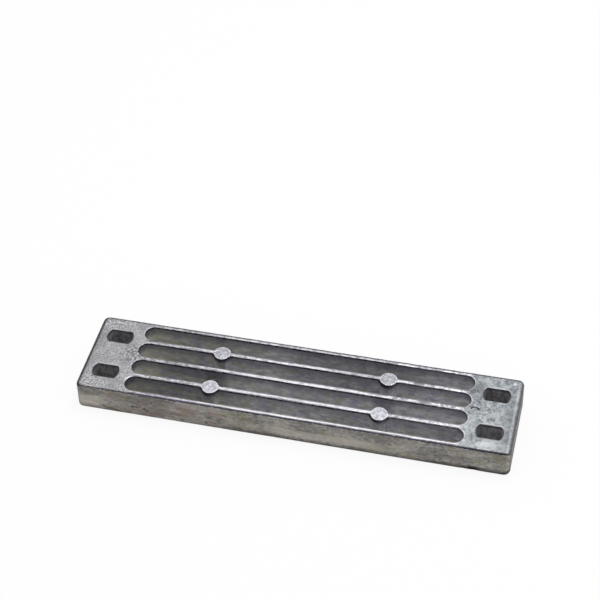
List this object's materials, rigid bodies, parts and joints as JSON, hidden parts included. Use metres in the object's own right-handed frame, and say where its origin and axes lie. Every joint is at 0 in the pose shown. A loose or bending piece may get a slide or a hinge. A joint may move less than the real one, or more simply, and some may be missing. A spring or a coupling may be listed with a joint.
{
  "type": "sacrificial anode",
  "caption": "Flat bar anode cast in one piece, open on top with long slots between thin ribs, round ejector pads on the ribs and flat-sided bolt holes at both ends.",
  "frame": {"origin": "centre of the flat back face that lies against the bracket", "axes": "+X along the bar, +Z out of the back face towards the open, slotted side"},
  "size_m": [0.2004, 0.0464, 0.0138],
  "materials": {
    "cast_metal": "as-cast dull silvery grey, cloudy and mottled, brighter on the rims and rib edges"
  },
  "bodies": {
    "root": {"anode": "cast_metal"}
  },
  "joints": []
}
